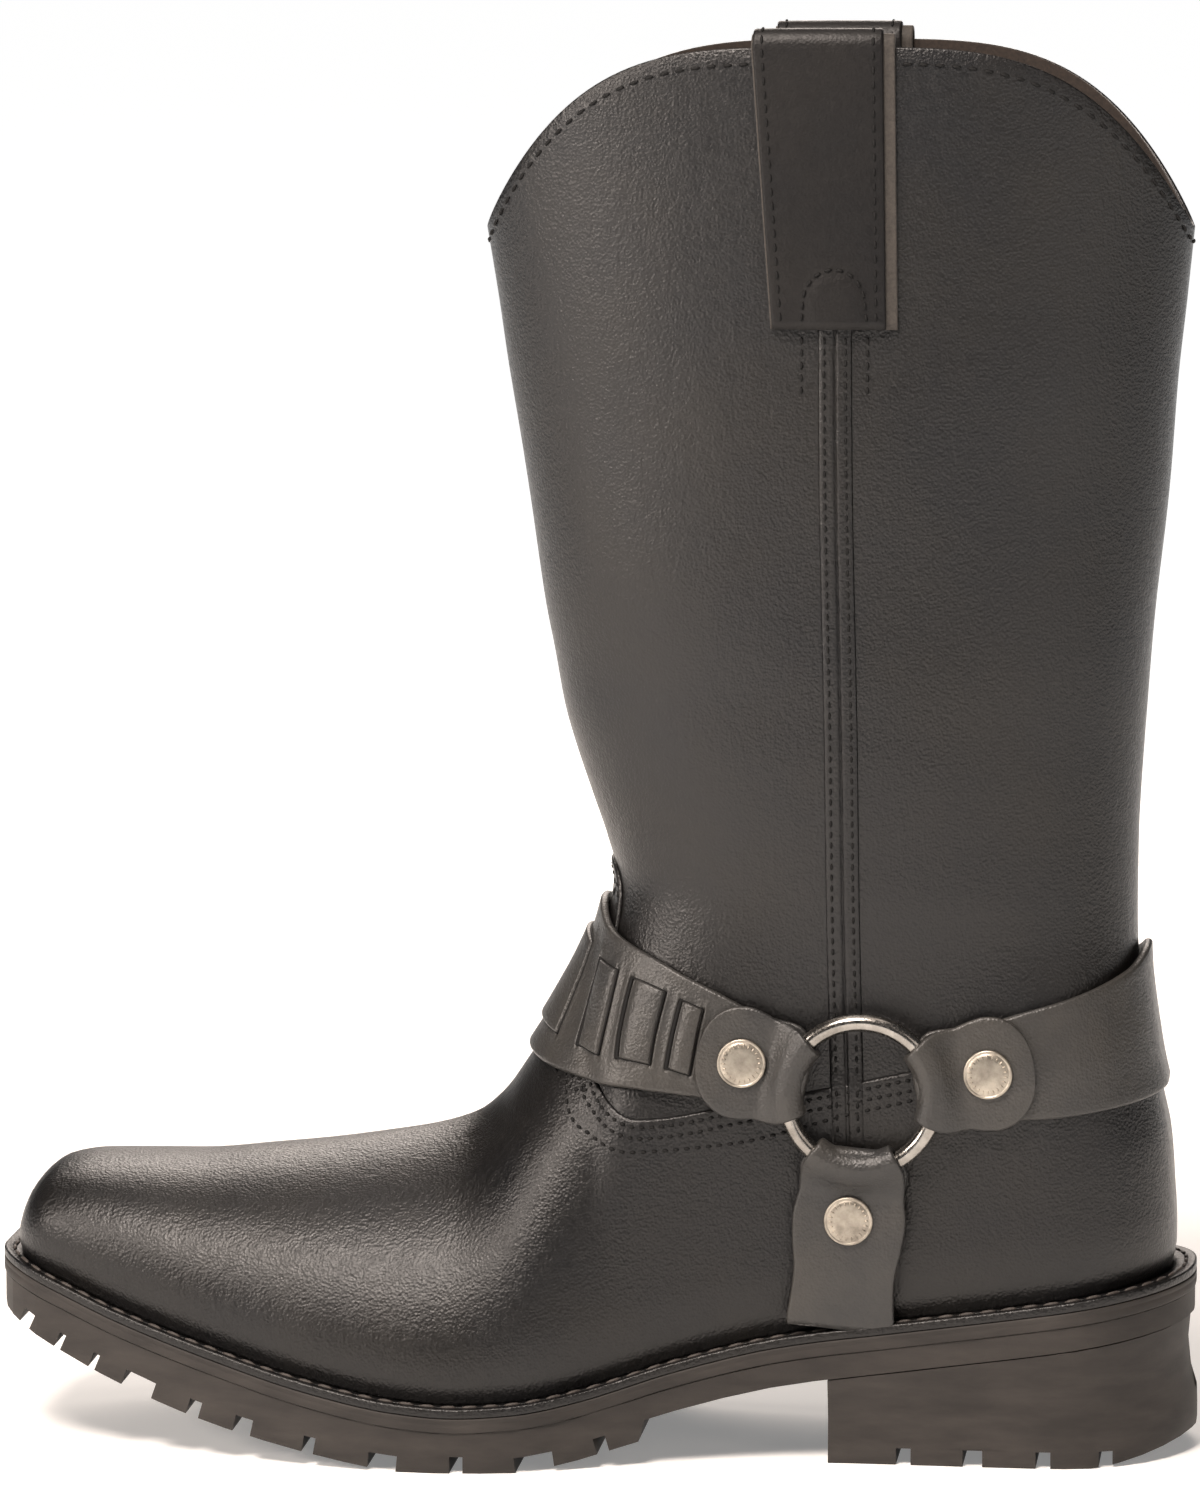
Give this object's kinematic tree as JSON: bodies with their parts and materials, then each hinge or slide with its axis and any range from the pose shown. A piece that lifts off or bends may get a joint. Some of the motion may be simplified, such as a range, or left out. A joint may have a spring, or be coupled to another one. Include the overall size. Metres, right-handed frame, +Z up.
{
  "type": "harness boot",
  "caption": "Left harness boot: hollow leather upper with a square toe and an arched collar with pull straps, ankle harness on steel rings, lugged rubber sole and block heel.",
  "frame": {"origin": "middle of the boot's footprint, on the floor", "axes": "+X towards the heel, -X towards the toe, +Y towards the inner side of the left foot, -Y towards its outer side, +Z up"},
  "size_m": [0.3054, 0.107, 0.3591],
  "materials": {
    "upper_leather": "full-grain, soft sheen",
    "harness_leather": "smooth, soft sheen",
    "rubber": "matte",
    "board": "matte",
    "steel": "antique nickel plate"
  },
  "bodies": {
    "boot": {"welt": "upper_leather", "midsole": "rubber", "insole": "board", "outsole": "rubber", "heel": "rubber", "upper": "upper_leather", "front_strap": "harness_leather", "back_strap": "harness_leather", "pull_strap_outer": "harness_leather", "side_seam_outer": "upper_leather", "front_tab_outer": "harness_leather", "front_tab_rivet_outer": "steel", "back_tab_outer": "harness_leather", "back_tab_rivet_outer": "steel", "keeper_outer": "harness_leather", "keeper_rivet_outer": "steel", "pull_strap_inner": "harness_leather", "side_seam_inner": "upper_leather", "front_tab_inner": "harness_leather", "front_tab_rivet_inner": "steel", "back_tab_inner": "harness_leather", "back_tab_rivet_inner": "steel", "keeper_inner": "harness_leather", "keeper_rivet_inner": "steel"},
    "ring_outer": {"ring_outer": "steel"},
    "ring_inner": {"ring_inner": "steel"}
  },
  "joints": [
    {"name": "ring_turn_outer", "type": "hinge", "parent": "boot", "child": "ring_outer", "pos_m": [0.06964, -0.03722, 0.095], "axis": [0.0071, -0.9997, -0.0216], "continuous": true},
    {"name": "ring_turn_inner", "type": "hinge", "parent": "boot", "child": "ring_inner", "pos_m": [0.06964, 0.0433, 0.095], "axis": [-0.0331, 0.9992, -0.023], "continuous": true}
  ]
}
